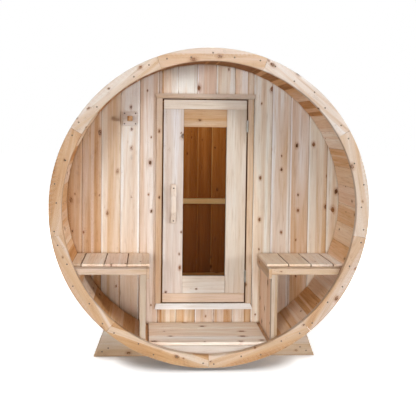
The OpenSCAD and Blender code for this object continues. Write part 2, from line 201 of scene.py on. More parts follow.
deepest_tone = 1.25
timber = add_node(cedar, "ShaderNodeValToRGB", {0: calc(cedar, "DIVIDE", tone_now, deepest_tone)})
timber_stops = (
    (0.00, (0.88, 0.86, 0.83)),
    (0.12, (0.82, 0.74, 0.65)),
    (0.25, (0.77, 0.64, 0.52)),
    (0.50, (0.69, 0.50, 0.34)),
    (0.75, (0.62, 0.375, 0.19)),
    (1.00, (0.46, 0.215, 0.075)),
    (1.25, (0.25, 0.100, 0.028)),
)
for stop in timber_stops[2:]:
    timber.color_ramp.elements.new(stop[0] / deepest_tone)
for element, (place, colour) in zip(timber.color_ramp.elements, timber_stops):
    element.position = place / deepest_tone
    element.color = (*colour, 1.0)

# %% [markdown]
# A knot is the foot of a branch, so it runs through the board from face to face. Cells of a flat Voronoi
# pattern place the knots, and the cell's random colour decides whether there is one and how big it is. The
# ring of darker, redder wood round it is the halo.

# %% Knots and fibres in the cedar group
knot_sway = noise(cedar, in_log, 60.0)
knot_shift = times(cedar, knot_sway, 0.10)
knot_place = vector_of(
    cedar,
    calc(cedar, "MULTIPLY_ADD", across[0], 11.0, knot_shift),
    calc(cedar, "MULTIPLY_ADD", across[2], 7.0, knot_shift),
)
knot_cell = add_node(
    cedar, "ShaderNodeTexVoronoi", {"Vector": knot_place, "Scale": 1.0}, voronoi_dimensions="2D"
)
knot_luck = add_node(cedar, "ShaderNodeSeparateColor", {0: knot_cell.outputs["Color"]}).outputs
knot_there = calc(cedar, "LESS_THAN", knot_luck[0], board_in["Knots"])
knot_size = calc(cedar, "MULTIPLY_ADD", calc(cedar, "POWER", knot_luck[1], 2.0), 0.100, 0.042)
knot_reach = calc(cedar, "DIVIDE", knot_cell.outputs["Distance"], knot_size)
knot_core = times(cedar, ease(cedar, knot_reach, 0.75, 1.15, 1.0, 0.0), knot_there)
knot_halo = times(cedar, ease(cedar, knot_reach, 0.9, 2.6, 0.55, 0.0), knot_there)

late_wood = ease(cedar, growth, 0.50, 0.76, 1.0, 0.82)
lined = dim(
    cedar, timber.outputs[0],
    late_wood, calc(cedar, "POWER", late_wood, 1.25), calc(cedar, "POWER", late_wood, 1.5),
)
haloed = mix_colour(cedar, knot_halo, lined, (0.42, 0.21, 0.095, 1.0))
knot_wood = mix_colour(cedar, knot_luck[2], (0.085, 0.030, 0.010, 1.0), (0.26, 0.105, 0.038, 1.0))
knotted = mix_colour(cedar, knot_core, haloed, knot_wood)
shimmer = times(cedar, ease(cedar, fibre, 0.25, 0.75, 0.92, 1.06), board_in["Brightness"])
board_hue = add_node(cedar, "ShaderNodeSeparateColor", {0: luck.outputs["Color"]}).outputs[1]
board_face = dim(
    cedar, knotted, shimmer,
    times(cedar, shimmer, ease(cedar, board_hue, 0.0, 1.0, 0.985, 1.0)),
    times(cedar, shimmer, ease(cedar, board_hue, 0.0, 1.0, 1.03, 0.97)),
)
sheen = calc(cedar, "MULTIPLY_ADD", growth, 0.22, 0.54)
relief = calc(cedar, "ADD", times(cedar, growth, 0.6), times(cedar, fibre, 0.4))
add_node(cedar, "NodeGroupOutput", {
    "Color": board_face, "Roughness": sheen, "Height": calc(cedar, "SUBTRACT", relief, knot_core),
})
print("cedar group:", len(cedar.nodes), "nodes")

# %% [markdown]
# Each use of cedar in the sauna gets its own material from the group: the wall planks are streaky and
# knotty, the sill and the door's end rails clear. The boards carry their grain, number and tone as
# attributes of the mesh, so one material serves a whole stack of different boards. Shade in the joints is
# painted into the base colour: a short ambient occlusion darkens it, taking more from green and blue than
# from red, as light that has bounced between boards comes out brown.

# %% Cedar materials
def new_material(name):
    """An empty node material; gives it with its Principled shader and its tree."""
    material = bpy.data.materials.new(name)
    material.use_nodes = True
    return material, material.node_tree.nodes["Principled BSDF"], material.node_tree


def dress(piece, material):
    """Show a piece, or a CAD node as it is, in one material."""
    piece.data.materials.clear()
    piece.data.materials.append(material)


def finish_cedar(tree, shader, streaks, sapwood, knots, brightness):
    """Put the cedar group in front of a Principled shader, with painted shade in the joints and a shallow
    bump.
    """
    def read(name, kind):
        """What one attribute of the boards says."""
        return add_node(tree, "ShaderNodeAttribute", attribute_name=name).outputs[kind]

    face = add_node(tree, "ShaderNodeGroup", {
        "Grain": read("grain", "Vector"), "Board": read("board", "Fac"), "Tone": read("tone", "Fac"),
        "Streaks": streaks, "Sapwood": sapwood, "Knots": knots, "Brightness": brightness,
    }, node_tree=cedar).outputs
    bump = put(tree, "ShaderNodeBump", {"Height": face["Height"], "Strength": 0.3, "Distance": 0.0012})
    # Painted shade: a short ambient occlusion darkens the base colour in joints and creases
    openness = add_node(tree, "ShaderNodeAmbientOcclusion", {"Distance": 0.03}, samples=8).outputs["AO"]
    shade = ease(tree, openness, 0.15, 0.75, 0.35, 1.0)
    green_shade, blue_shade = calc(tree, "POWER", shade, 1.35), calc(tree, "POWER", shade, 1.7)
    shaded = dim(tree, face["Color"], shade, green_shade, blue_shade)
    plug(tree, shader, {
        "Base Color": shaded, "Roughness": face["Roughness"], "Normal": bump, "Specular IOR Level": 0.12,
    })


# streaks, sapwood, knots and brightness
cedar_looks = {
    "ring_cedar": (1.40, 0.50, 0.50, 0.87),
    "stave_cedar": (0.75, 0.35, 0.30, 1.18),
    "wall_cedar": (1.70, 0.60, 0.42, 0.89),
    # the wall's cedar made brighter: painted light on the planks over the door, which the roof shades
    "wall_cedar_painted_light": (1.70, 0.60, 0.42, 1.03),
    "cabin_cedar": (0.60, 0.05, 0.85, 1.0),
    "floor_cedar": (0.65, 0.40, 0.32, 1.08),
    "bench_cedar": (0.85, 0.40, 0.38, 0.84),
    "post_cedar": (0.85, 0.40, 0.38, 0.67),
    "trim_cedar": (0.70, 0.25, 0.10, 0.79),
    "clear_cedar": (0.30, 0.20, 0.04, 0.87),
    "batten_cedar": (0.30, 0.20, 0.04, 1.20),
    "door_cedar": (0.60, 0.30, 0.22, 0.76),
    "cradle_cedar": (0.75, 0.35, 0.50, 0.78),
}
cedar_of = {}
for timber_name, looks in cedar_looks.items():
    cedar_of[timber_name], shader, tree = new_material(timber_name)
    finish_cedar(tree, shader, *looks)
print("cedar materials:", ", ".join(cedar_of))


# %% [markdown]
# A planed board never has a razor edge: a pass with the block plane leaves a round of a millimetre or two
# that catches the light. The CAD boards are sharp, so each is copied, its loose triangles are merged into
# flat faces, and its corners are bevelled. Working on a copy leaves the CAD mesh untouched.

# %% Boards from CAD nodes
sharp_corner = math.radians(32)
flat_enough = math.radians(1)
same_point = 1e-5


def add_piece(name, mesh):
    """A new object at the origin that shows a mesh."""
    piece = bpy.data.objects.new(name, mesh)
    bpy.context.scene.collection.objects.link(piece)
    return piece


def eased_copy(node, round_off, wanted=None, steps=2):
    """A copy of a CAD node with its sharp edges rounded off; wanted picks among the sharp edges."""
    shape = bmesh.new()
    shape.from_mesh(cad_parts[node].data)
    bmesh.ops.remove_doubles(shape, verts=shape.verts, dist=same_point)
    bmesh.ops.dissolve_limit(
        shape, angle_limit=flat_enough, use_dissolve_boundaries=False, verts=shape.verts, edges=shape.edges
    )
    sharp = [
        edge for edge in shape.edges
        if len(edge.link_faces) == 2 and edge.calc_face_angle(0) > sharp_corner
        and (wanted is None or wanted(edge))
    ]
    bmesh.ops.bevel(
        shape, geom=sharp, offset=round_off, segments=steps, profile=0.5, affect="EDGES", clamp_overlap=True
    )
    mesh = bpy.data.meshes.new(node)
    shape.to_mesh(mesh)
    shape.free()
    return add_piece(node + "_eased", mesh)


# %% [markdown]
# Next the boards of a piece are told apart, and each gets what the cedar group reads: its grain, a number
# and a tone. Ends and gaps get a deeper tone.

# %% Grain and tone
board_numbers = itertools.count(1)
draw = random.Random(46)
gap_reach = (-0.0006, 0.0086)
gap_painted_shade = 0.8


def boards_in(mesh):
    """Each board's vertex numbers and middle, from left to right, front to back and low to high."""
    neighbours = [[] for _ in mesh.vertices]
    for edge in mesh.edges:
        first, second = edge.vertices
        neighbours[first].append(second)
        neighbours[second].append(first)
    left, boards = set(range(len(mesh.vertices))), []
    while left:
        reached = [left.pop()]
        for vertex in reached:
            fresh = left.intersection(neighbours[vertex])
            left -= fresh
            reached.extend(sorted(fresh))
        boards.append(reached)
    middles = [sum((mesh.vertices[v].co for v in board), Vector()) / len(board) for board in boards]
    order = sorted(range(len(boards)), key=lambda k: tuple(round(value, 2) for value in middles[k]))
    return [(boards[k], middles[k]) for k in order]


def give_grain(piece, grain_of, tone_of):
    """Store grain, number and tone on each board. The rules get a place, its board's middle and turn."""
    mesh = piece.data
    grain, number, tone = ([None] * len(mesh.vertices) for _ in range(3))
    boards = boards_in(mesh)
    for turn, (board, middle) in enumerate(boards):
        own_number, own_tone = next(board_numbers), tone_of(middle, turn)
        for vertex in board:
            grain[vertex] = grain_of(mesh.vertices[vertex].co, middle)
            number[vertex] = own_number
            tone[vertex] = own_tone
    flat_grain = list(itertools.chain(*grain))
    mesh.attributes.new("grain", "FLOAT_VECTOR", "POINT").data.foreach_set("vector", flat_grain)
    mesh.attributes.new("board", "FLOAT", "POINT").data.foreach_set("value", number)
    mesh.attributes.new("tone", "FLOAT", "POINT").data.foreach_set("value", tone)
    return len(boards)


def darken_ends(piece, order, extra=0.08, squareness=0.8):
    """End grain drinks more light than a planed face, so faces square to the grain get a deeper tone."""
    grain_axis = "xyz".index(order[2])
    end_faces = [face for face in piece.data.polygons if abs(face.normal[grain_axis]) > squareness]
    ends = {vertex for face in end_faces for vertex in face.vertices}
    tone = piece.data.attributes["tone"].data
    for vertex in ends:
        tone[vertex].value += extra


def paint_gap_shade(piece):
    """Paint shade onto what faces the gap round the door: a deep tone stands in for the shadow there."""
    tone = piece.data.attributes["tone"].data
    for vertex in piece.data.vertices:
        under, over = door_low - vertex.co, vertex.co - door_high
        if gap_reach[0] < max(under.x, over.x, under.z, over.z) < gap_reach[1]:
            # Painted shade: the gap's shadow, given as a deeper tone
            tone[vertex.index].value += gap_painted_shade


def along(order):
    """A grain rule: order names the axes across the board's face, through it and along it, such as xyz."""
    axes = ["xyz".index(letter) for letter in order]
    return lambda place, middle: [place[axis] for axis in axes]


def tones(*values, spread=0.0):
    """A tone rule: the values in turn, each moved a little at random."""
    return lambda middle, turn: values[turn % len(values)] + draw.uniform(-spread, spread)


def keep(piece, body, slot, *nodes, material=None):
    """Dress a piece in its material, else its slot's cedar, hang it on its body and hide the CAD nodes it
    stands for.
    """
    dress(piece, material or cedar_of[slot])
    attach(piece, body)
    if nodes:
        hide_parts(*nodes)
    print(f"{piece.name}: {len(piece.data.polygons)} faces")


# %% [markdown]
# The ordinary boards of the sauna, each with its slot, the way its grain runs, how warm its timber is, the
# round of its edges and, where it isn't cut from its slot's own timber, the other timber. Floor boards run
# from side to side. Tones are listed board by board where a node has several.

# %% Floors
door_low, door_high = box_of("door_end_rails")


def plane_boards(node, slot, order, tone_rule, round_off, timber_name=None):
    """Eased boards in place of one CAD node."""
    piece = eased_copy(node, round_off)
    count = give_grain(piece, along(order), tone_rule)
    darken_ends(piece, order)
    if node in ("door_stiles", "door_end_rails", "door_casings"):
        paint_gap_shade(piece)
    body = "door" if slot == "door_cedar" else "barrel"
    keep(piece, body, slot, node, material=cedar_of[timber_name or slot])
    print("  boards:", count)


for row in (
    ("back_wall_batten", "trim_cedar", "zyx", tones(0.0), 0.0020, "batten_cedar"),
    ("porch_floor", "floor_cedar", "yzx", tones(0.15, 0.23, 0.17), 0.0055),
    ("porch_riser", "floor_cedar", "zyx", tones(0.16), 0.0020, "door_cedar"),
    ("cabin_floor", "floor_cedar", "yzx", tones(0.45, 0.55, spread=0.08), 0.0025),
):
    plane_boards(*row)

# %% [markdown]
# Both benches are built alike. Their slats run from the porch's mouth to the wall, and the posts and
# panels stand upright.

# %% Benches
bench_boards = (
    ("slats", "xzy", 0.0022, "floor_cedar"),
    ("front_rail", "zyx", 0.0015, "bench_cedar"),
    ("wall_cleat", "zyx", 0.0020, "bench_cedar"),
    ("post", "xyz", 0.0020, "post_cedar"),
    ("side_rail", "zxy", 0.0020, "bench_cedar"),
    ("side_panel", "yxz", 0.0020, "stave_cedar"),
)
bench_tones = {
    "left": ((0.35, 0.23, 0.31), (0.48,), (0.50,), (0.32,), (0.50,), (0.58, 0.52, 0.55)),
    "right": ((0.23, 0.29, 0.19), (0.43,), (0.50,), (0.52,), (0.52,), (0.54, 0.46, 0.50)),
}
for side, side_tones in bench_tones.items():
    for (part, order, round_off, timber_name), values in zip(bench_boards, side_tones):
        plane_boards(f"{side}_bench_{part}", "bench_cedar", order, tones(*values), round_off, timber_name)

# %% [markdown]
# The door and its trim are cut from clean boards, with a white sill, and the cradles from knottier ones.
# What faces the gap round the door gets painted shade: a deep tone for the shadow in the gap.

# %% Trim, door and cradles
for row in (
    ("door_casings", "trim_cedar", "xyz", tones(0.46, 0.44), 0.0020),
    ("door_head", "trim_cedar", "zyx", tones(0.42), 0.0015),
    ("door_sill", "trim_cedar", "zyx", tones(-0.05), 0.0015, "clear_cedar"),
    # The stops' tone of 1.25 is painted shade, for the shadow deep in the door's gap
    ("door_stops", "trim_cedar", "xyz", tones(1.25), 0.0010),
    ("robe_hook_plate", "trim_cedar", "zyx", tones(0.16), 0.0020),
    ("robe_hook_peg", "trim_cedar", "xzy", tones(0.98), 0.0030),
    ("door_stiles", "door_cedar", "xyz", tones(0.14, 0.26), 0.0025),
    ("door_end_rails", "door_cedar", "zyx", tones(0.42, 0.14), 0.0025, "clear_cedar"),
    ("door_inner_rails", "door_cedar", "zyx", tones(0.20, 0.74), 0.0025),
    ("door_pull", "door_cedar", "xyz", tones(0.20), 0.0040, "clear_cedar"),
    ("cradle_lower_boards", "cradle_cedar", "zyx", tones(0.52, 0.55), 0.0020),
    ("cradle_upper_boards", "cradle_cedar", "zyx", tones(0.30, 0.40), 0.0020),
):
    plane_boards(*row)

# %% [markdown]
# The staves keep the beads and coves of the CAD model, which lock them together. Only the long corners on
# the inside and outside are planed off, so that a fine V shows between neighbours. A stave's grain runs
# the length of the barrel, and across it goes round the circle. The inside faces get painted shade, a
# deeper tone most of all under the roof and a little near the floor, and painted light on the right.

# %% Staves
stave_middle_r = wall_radius + 0.010
stave_tones = tones(0.70, 0.42, 0.80, 0.52, 0.34, 0.74, 0.58, spread=0.08)
# Painted shade under the roof and near the floor, and painted light on the right, on the inside faces
roof_painted_shade, floor_painted_shade, right_painted_light = 1.05, 0.20, 0.12
along_share, shortest_run = 0.95, 0.05


def is_long_edge(edge):
    """True for an edge that runs along the barrel."""
    run = edge.verts[1].co - edge.verts[0].co
    return abs(run.y) > along_share * run.length and run.length > shortest_run


def stave_grain(place, middle):
    """Across the stave, through it, and along the barrel."""
    outward = Vector((middle.x, 0.0, middle.z - barrel_axis_z)).normalized()
    spoke = Vector((place.x, 0.0, place.z - barrel_axis_z))
    return outward.z * spoke.x - outward.x * spoke.z, spoke.dot(outward), place.y


def paint_stave_shade_and_light(piece):
    """Paint shade inside the staves, a little near the floor and more under the roof, and paint light on the
    right.
    """
    tone = piece.data.attributes["tone"].data
    for vertex in piece.data.vertices:
        spoke = Vector((vertex.co.x, vertex.co.z - barrel_axis_z))
        if spoke.length < stave_middle_r:
            right, up = spoke.normalized()
            deeper = roof_painted_shade * up ** 4 if up > 0 else floor_painted_shade * -up
            tone[vertex.index].value += deeper - right_painted_light * max(0.0, right)


for group in ("roof", "upper_right", "lower_right", "floor", "lower_left", "upper_left"):
    node = "staves_" + group
    piece = eased_copy(node, round_off=0.0018, wanted=is_long_edge, steps=1)
    count = give_grain(piece, stave_grain, stave_tones)
    paint_stave_shade_and_light(piece)
    keep(piece, "barrel", "stave_cedar", node)
    print("  staves:", count)


# %% [markdown]
# What repeats by a rule is left to Geometry Nodes. A tree is run once on a holder object, and its result
# is kept as a plain mesh, because the exported model has to stand without modifiers. Inputs are set by the
# identifier of their socket, since a modifier doesn't know them by name.

# %% Run a tree
def new_tree(name, inputs):
    """An empty Geometry Nodes tree with named inputs; gives it with its input sockets."""
    return new_group("GeometryNodeTree", name, inputs, {"Geometry": "Geometry"})


def close_tree(tree, shape, material):
    """End a tree in Realize Instances and Set Material."""
    solid = put(tree, "GeometryNodeRealizeInstances", {0: shape})
    faced = put(tree, "GeometryNodeSetMaterial", {"Geometry": solid, "Material": material})
    add_node(tree, "NodeGroupOutput", {0: faced})


def grow(name, tree, sizes, start=None):
    """Run a tree with these sizes, on a start mesh if it needs one, and keep the result as a plain piece."""
    holder = add_piece(name + "_holder", start or bpy.data.meshes.new(name + "_start"))
    modifier = holder.modifiers.new("grow", "NODES")
    modifier.node_group = tree
    for item in tree.interface.items_tree:
        if item.in_out == "INPUT" and item.name in sizes:
            modifier[item.identifier] = sizes[item.name]
    made = bpy.data.meshes.new_from_object(holder.evaluated_get(bpy.context.evaluated_depsgraph_get()))
    bpy.data.objects.remove(holder)
    return add_piece(name, made)


# %% [markdown]
# Each mouth of the barrel is trimmed with nine boards, bandsawn to an arc. Here one board is an arc of the
# middle line with a rounded rectangle swept along it, and nine points at the centre each hold one, turned
# a step further.

# %% The ring tree
ring_tree, ring_in = new_tree("ring_boards", {
    "Middle Radius": "Float", "Width": "Float", "Depth": "Float", "Boards": "Int", "First Joint": "Float",
    "Joint": "Float", "Round": "Float", "Place": "Vector", "Material": "Material",
})
one_share = calc(ring_tree, "DIVIDE", math.tau, ring_in["Boards"])
joint_turn = calc(ring_tree, "DIVIDE", ring_in["Joint"], ring_in["Middle Radius"])
middle_line = put(ring_tree, "GeometryNodeCurveArc", {
    "Resolution": 25,
    "Radius": ring_in["Middle Radius"],
    "Start Angle": calc(ring_tree, "MULTIPLY_ADD", joint_turn, 0.5, ring_in["First Joint"]),
    "Sweep Angle": calc(ring_tree, "SUBTRACT", one_share, joint_turn),
}, mode="RADIUS")
section = put(ring_tree, "GeometryNodeCurvePrimitiveQuadrilateral", {
    "Width": ring_in["Width"], "Height": ring_in["Depth"],
})
rounded_section = put(ring_tree, "GeometryNodeFilletCurve", {
    "Curve": section, "Count": 3, "Radius": ring_in["Round"],
}, mode="POLY")
ring_board = put(ring_tree, "GeometryNodeCurveToMesh", {
    "Curve": middle_line, "Profile Curve": rounded_section, "Fill Caps": True,
})
turn_angle = times(ring_tree, put(ring_tree, "GeometryNodeInputIndex"), one_share)
turn = put(ring_tree, "FunctionNodeEulerToRotation", {0: vector_of(ring_tree, z=turn_angle)})
ring_points = put(ring_tree, "GeometryNodePoints", {"Count": ring_in["Boards"]})
all_boards = put(ring_tree, "GeometryNodeInstanceOnPoints", {
    "Points": ring_points, "Instance": ring_board, "Rotation": turn,
})
stood_up = put(ring_tree, "GeometryNodeTransform", {
    "Geometry": all_boards, "Translation": ring_in["Place"], "Rotation": (math.pi / 2, 0.0, 0.0),
})
close_tree(ring_tree, stood_up, ring_in["Material"])

# %% [markdown]
# Both rings come from the one tree. The tones of the front ring's boards are set one by one, and the back
# ring has the same boards in another order. The boards are thinner than the CAD ring by a screw head on
# each face, so the screws don't make the sauna longer.

# %% The two rings
screw_proud = 0.0008
ring_board_count = 9
first_ring_joint = math.radians(30)
front_ring_tones = (0.34, 0.52, 0.40, 0.66, 0.58, 0.88, 0.68, 0.52, 0.32)


def ring_share(middle):
    """Which board of its ring this is, from the first joint and against the clock, seen from the porch."""
    angle = math.atan2(middle.z - barrel_axis_z, middle.x) - first_ring_joint
    return int(angle % math.tau / (math.tau / ring_board_count))


def ring_grain(place, middle):
    """Across the board towards the rim, through it, and along its middle."""
    outward = Vector((middle.x, 0.0, middle.z - barrel_axis_z)).normalized()
    spoke = Vector((place.x, 0.0, place.z - barrel_axis_z))
    return spoke.dot(outward), place.y, outward.x * spoke.z - outward.z * spoke.x


for node, ring_tones in (
    ("front_ring", front_ring_tones),
    ("back_ring", front_ring_tones[4:] + front_ring_tones[:4]),
):
    low, high = box_of(node)
    piece = grow(node + "_boards", ring_tree, {
        "Middle Radius": ring_radius - ring_board_w / 2,
        "Width": ring_board_w,
        "Depth": ring_depth - 2 * screw_proud,
        "Boards": ring_board_count,
        "First Joint": first_ring_joint,
        "Joint": 0.0012,
        "Round": 0.003,
        "Place": (0.0, (low.y + high.y) / 2, barrel_axis_z),
        "Material": cedar_of["ring_cedar"],
    })
    give_grain(piece, ring_grain, lambda middle, turn: ring_tones[ring_share(middle)])
    keep(piece, "barrel", "ring_cedar", node)
    print("  reach:", [round(value, 3) for value in piece.dimensions])

# %% [markdown]
# The end walls are upright tongue-and-groove planks, with the V of the joint planed on both faces. The CAD
# model has each wall as a slab. The tree stands planks of one width in a row, then pulls every point
# inside the wall's limits: the circle of the barrel above and below, and the door's opening where there is
# one.

# %% The plank tree
plank_tree, plank_in = new_tree("wall_planks", {
    "First Joint": "Float", "Width": "Float", "Planks": "Int", "Thickness": "Float", "V Groove": "Float",
    "Wall Middle": "Float", "Left": "Float", "Right": "Float", "Low": "Float", "High": "Float",
    "Axis Height": "Float", "Radius": "Float", "Material": "Material",
})
plank_section = put(plank_tree, "GeometryNodeFilletCurve", {
    "Curve": put(plank_tree, "GeometryNodeCurvePrimitiveQuadrilateral", {
        "Width": plank_in["Width"], "Height": plank_in["Thickness"],
    }),
    "Count": 1,
    "Radius": plank_in["V Groove"],
}, mode="POLY")
fine_section = put(plank_tree, "GeometryNodeSubdivideCurve", {"Curve": plank_section, "Cuts": 11})
upright = put(plank_tree, "GeometryNodeCurvePrimitiveLine", {"End": (0.0, 0.0, 1.0)})
plank = put(plank_tree, "GeometryNodeCurveToMesh", {
    "Curve": upright, "Profile Curve": fine_section, "Fill Caps": True,
})
first_middle = calc(plank_tree, "MULTIPLY_ADD", plank_in["Width"], 0.5, plank_in["First Joint"])
plank_row = put(plank_tree, "GeometryNodeMeshLine", {
    "Count": plank_in["Planks"],
    "Start Location": vector_of(plank_tree, first_middle, plank_in["Wall Middle"]),
    "Offset": vector_of(plank_tree, plank_in["Width"]),
})
stood_planks = put(plank_tree, "GeometryNodeInstanceOnPoints", {"Points": plank_row, "Instance": plank})
loose_planks = put(plank_tree, "GeometryNodeRealizeInstances", {0: stood_planks})
point_place = put(plank_tree, "GeometryNodeInputPosition")
spot = add_node(plank_tree, "ShaderNodeSeparateXYZ", {0: point_place}).outputs
left_cut = calc(plank_tree, "MAXIMUM", spot[0], plank_in["Left"])
cut_x = calc(plank_tree, "MINIMUM", left_cut, plank_in["Right"])
cut_square = times(plank_tree, cut_x, cut_x)
radius_square = times(plank_tree, plank_in["Radius"], plank_in["Radius"])
chord_square = calc(plank_tree, "MAXIMUM", calc(plank_tree, "SUBTRACT", radius_square, cut_square), 0.0)
half_chord = calc(plank_tree, "SQRT", chord_square)
circle_low = calc(plank_tree, "SUBTRACT", plank_in["Axis Height"], half_chord)
circle_high = calc(plank_tree, "ADD", plank_in["Axis Height"], half_chord)
foot = calc(plank_tree, "MAXIMUM", plank_in["Low"], circle_low)
head = calc(plank_tree, "MINIMUM", plank_in["High"], circle_high)
cut_z = calc(plank_tree, "MULTIPLY_ADD", spot[2], calc(plank_tree, "SUBTRACT", head, foot), foot)
cut_planks = put(plank_tree, "GeometryNodeSetPosition", {
    "Geometry": loose_planks,
    "Position": vector_of(plank_tree, cut_x, spot[1], cut_z),
})
close_tree(plank_tree, cut_planks, plank_in["Material"])

# %% [markdown]
# The planks run through behind the door's casings on one set-out, so a joint over the door lines up with
# the one below the sill. Their tones go from left to right as they were picked from the stack: orange ones
# at the left end, a white one behind the hook, and pale ones on the right.

# %% The two end walls
plank_w = 0.1275
plank_v = 0.0035
first_plank_joint = -0.9475
edge_in = 0.002
sap_edge_w, sap_paler = 0.006, 0.40
joint_w, joint_deeper = 0.001, 0.75
front_plank_tones = (
    0.66, 0.56, 0.42, 0.14, 0.32, 0.24, 0.04, 0.22, 0.08, 0.26, 0.09, 0.13, 0.26, 0.13, 0.30
)


def plank_at(x):
    """The number of the plank at a place across the wall, from the left."""
    return int((x - first_plank_joint) / plank_w)


def lay_planks(node, tone_of, timber_name="wall_cedar", **shades):
    """Planks in place of one slab of the end walls."""
    low, high = box_of(node)
    first = plank_at(low.x + edge_in)
    piece = grow(node + "_planks", plank_tree, {
        "First Joint": first_plank_joint + first * plank_w,
        "Width": plank_w,
        "Planks": plank_at(high.x - edge_in) - first + 1,
        "Thickness": high.y - low.y,
        "V Groove": plank_v,
        "Wall Middle": (low.y + high.y) / 2,
        "Left": low.x, "Right": high.x, "Low": low.z, "High": high.z,
        "Axis Height": barrel_axis_z,
        "Radius": wall_radius,
        "Material": cedar_of[timber_name],
    })
    count = give_grain(piece, along("xyz"), tone_of)
    shade_planks(piece, **shades)
    keep(piece, "barrel", "wall_cedar", node, material=cedar_of[timber_name])
    print("  planks:", count, [round(value, 3) for value in piece.dimensions])


def shade_planks(piece, feet=0.0, inside=0.0):
    """Dark joints, sapwood along one edge of most planks, and painted shade: deeper tones low down and on
    the cabin side.
    """
    tone = piece.data.attributes["tone"].data
    for board, middle in boards_in(piece.data):
        across = [piece.data.vertices[v].co.x for v in board]
        left, right = min(across), max(across)
        sap_x = draw.choice((left, left, right, None))
        for vertex in board:
            place = piece.data.vertices[vertex].co
            if sap_x is not None and abs(place.x - sap_x) < sap_edge_w:
                tone[vertex].value -= sap_paler
            if min(place.x - left, right - place.x) < joint_w:
                tone[vertex].value += joint_deeper
            # Painted shade: the lower half of the wall gets a deeper tone, for the shade under the benches
            if place.z < barrel_axis_z:
                tone[vertex].value += feet
            # Painted shade: the cabin side of the back wall gets a deeper tone
            if place.y < middle.y:
                tone[vertex].value += inside


def front_tone(middle, turn):
    """The tone of a plank by its place in the front wall."""
    return front_plank_tones[plank_at(middle.x) % len(front_plank_tones)]


lay_planks("front_wall_left", front_tone, feet=0.14)
lay_planks("front_wall_right", front_tone, feet=0.36)
# The planks over the door take a brighter copy of the wall's cedar: painted light where the roof shades them
lay_planks("front_wall_over_door", front_tone, "wall_cedar_painted_light")
lay_planks("front_wall_under_door", tones(0.42, 0.52, 0.40, 0.54, 0.44))
lay_planks("back_wall", tones(0.60, 0.53, 0.62, 0.56, spread=0.04), "cabin_cedar", feet=0.20, inside=0.42)

# %% [markdown]
# Wood screws: coated deck screws whose shallow heads show on the ring boards, the cradles, the hook's
# plate and the pull. One tree sets a head on every point of a start mesh and turns it to the way that the
# point faces. The head is a shallow cone whose top is inset and pushed down for the driver.

# %% The screw tree
screw_tree, screw_in = new_tree("screw_heads", {
    "Points": "Geometry", "Radius": "Float", "Proud": "Float", "Material": "Material",
})
blank = add_node(screw_tree, "GeometryNodeMeshCone", {
    "Vertices": 14,
    "Radius Top": times(screw_tree, screw_in["Radius"], 0.8),
    "Radius Bottom": screw_in["Radius"],
    "Depth": screw_in["Proud"],
}).outputs
rim = add_node(screw_tree, "GeometryNodeExtrudeMesh", {
    "Mesh": blank["Mesh"], "Selection": blank["Top"], "Offset Scale": 0.0,
}, mode="FACES").outputs
drive_mouth = put(screw_tree, "GeometryNodeScaleElements", {
    "Geometry": rim["Mesh"], "Selection": rim["Top"], "Scale": 0.5,
})
driven = add_node(screw_tree, "GeometryNodeExtrudeMesh", {
    "Mesh": drive_mouth, "Selection": rim["Top"],
    "Offset Scale": times(screw_tree, screw_in["Proud"], -0.7),
}, mode="FACES").outputs["Mesh"]
facing = put(screw_tree, "GeometryNodeInputNamedAttribute", {"Name": "facing"}, data_type="FLOAT_VECTOR")
head_turn = put(screw_tree, "FunctionNodeAlignRotationToVector", {"Vector": facing}, axis="Z")
heads = put(screw_tree, "GeometryNodeInstanceOnPoints", {
    "Points": screw_in["Points"], "Instance": driven, "Rotation": head_turn,
})
close_tree(screw_tree, heads, screw_in["Material"])

# %% [markdown]
# Metal on this sauna: the coated screws, the satin hinges and the stainless bands. Rolled strip has fine
# lines along its length and small dull patches, and one group makes both for all three.

# %% The brushed metal group and its materials
brushed, metal_in = new_group("ShaderNodeTree", "brushed_metal", {
    "Vector": "Vector", "Bright": "Color", "Dull": "Color",
}, {"Color": "Color", "Roughness": "Float"})
rolled = stretch(brushed, metal_in["Vector"], (40.0, 900.0, 40.0))
brush_lines = noise(brushed, rolled, 1.0, detail=3.0, roughness=0.6)
patches = noise(brushed, metal_in["Vector"], 24.0, detail=3.0, roughness=0.6)
dull_patch = ease(brushed, patches, 0.45, 0.72)
line_sheen = ease(brushed, brush_lines, 0.3, 0.7, 0.28, 0.44)
add_node(brushed, "NodeGroupOutput", {
    "Color": mix_colour(brushed, dull_patch, metal_in["Bright"], metal_in["Dull"]),
    "Roughness": calc(brushed, "MULTIPLY_ADD", dull_patch, 0.12, line_sheen),
})


def metal_material(name, bright, dull, metallic=1.0):
    """Brushed metal between two colours."""
    material, shader, tree = new_material(name)
    face = add_node(tree, "ShaderNodeGroup", {
        "Vector": add_node(tree, "ShaderNodeTexCoord").outputs["Object"],
        "Bright": (*bright, 1.0),
        "Dull": (*dull, 1.0),
    }, node_tree=brushed).outputs
    plug(tree, shader, {"Base Color": face["Color"], "Roughness": face["Roughness"], "Metallic": metallic})
    return material


screw_coat = metal_material("screw_coat", (0.12, 0.085, 0.06), (0.07, 0.05, 0.035), 0.5)
hinge_steel = metal_material("hinge_steel", (0.36, 0.35, 0.32), (0.28, 0.27, 0.24))
band_steel = metal_material("band_steel", (0.20, 0.20, 0.205), (0.14, 0.14, 0.145))
for node, metal in (
    ("steel_bands", band_steel), ("hinge_frame_leaves", hinge_steel), ("hinge_door_leaves", hinge_steel)
):
    dress(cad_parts[node], metal)
print("metals:", screw_coat.name, hinge_steel.name, band_steel.name)

# %% [markdown]
# Where the screws go: five through each ring board into the staves' ends, two at each end of a cradle
# board, one in each corner of the hook's plate and one through each foot of the pull.

